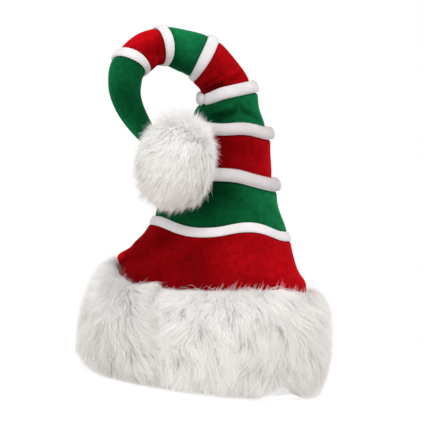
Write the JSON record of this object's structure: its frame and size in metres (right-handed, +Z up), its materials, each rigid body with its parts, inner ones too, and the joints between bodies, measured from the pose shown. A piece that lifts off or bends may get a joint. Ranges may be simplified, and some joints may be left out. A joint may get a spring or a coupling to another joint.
{
  "type": "santa hat",
  "caption": "Soft striped Santa hat in red and green velour with white piping, a deep fur cuff to stand on, an open head space, and a tip that curls over to a fur pompom.",
  "frame": {"origin": "middle of the hat's footprint, on the floor that the cuff rests on", "axes": "+Z up from the cuff to the crown, -Y towards the front, +X to the right as seen from the front, away from the curled tip"},
  "size_m": [0.2672, 0.2486, 0.3617],
  "materials": {
    "red_velour": "matt velour nap",
    "green_velour": "matt velour nap",
    "white_piping": "short plush pile",
    "white_fur": "long soft pile"
  },
  "bodies": {
    "root": {"band_1_red": "red_velour", "band_2_green": "green_velour", "band_3_red": "red_velour", "band_4_green": "green_velour", "band_5_red": "red_velour", "band_6_green": "green_velour", "band_7_red": "red_velour", "band_8_green": "green_velour", "piping_1": "white_piping", "piping_2": "white_piping", "piping_3": "white_piping", "piping_4": "white_piping", "piping_5": "white_piping", "piping_6": "white_piping", "piping_7": "white_piping", "fur_cuff": "white_fur", "pompom": "white_fur"}
  },
  "joints": []
}
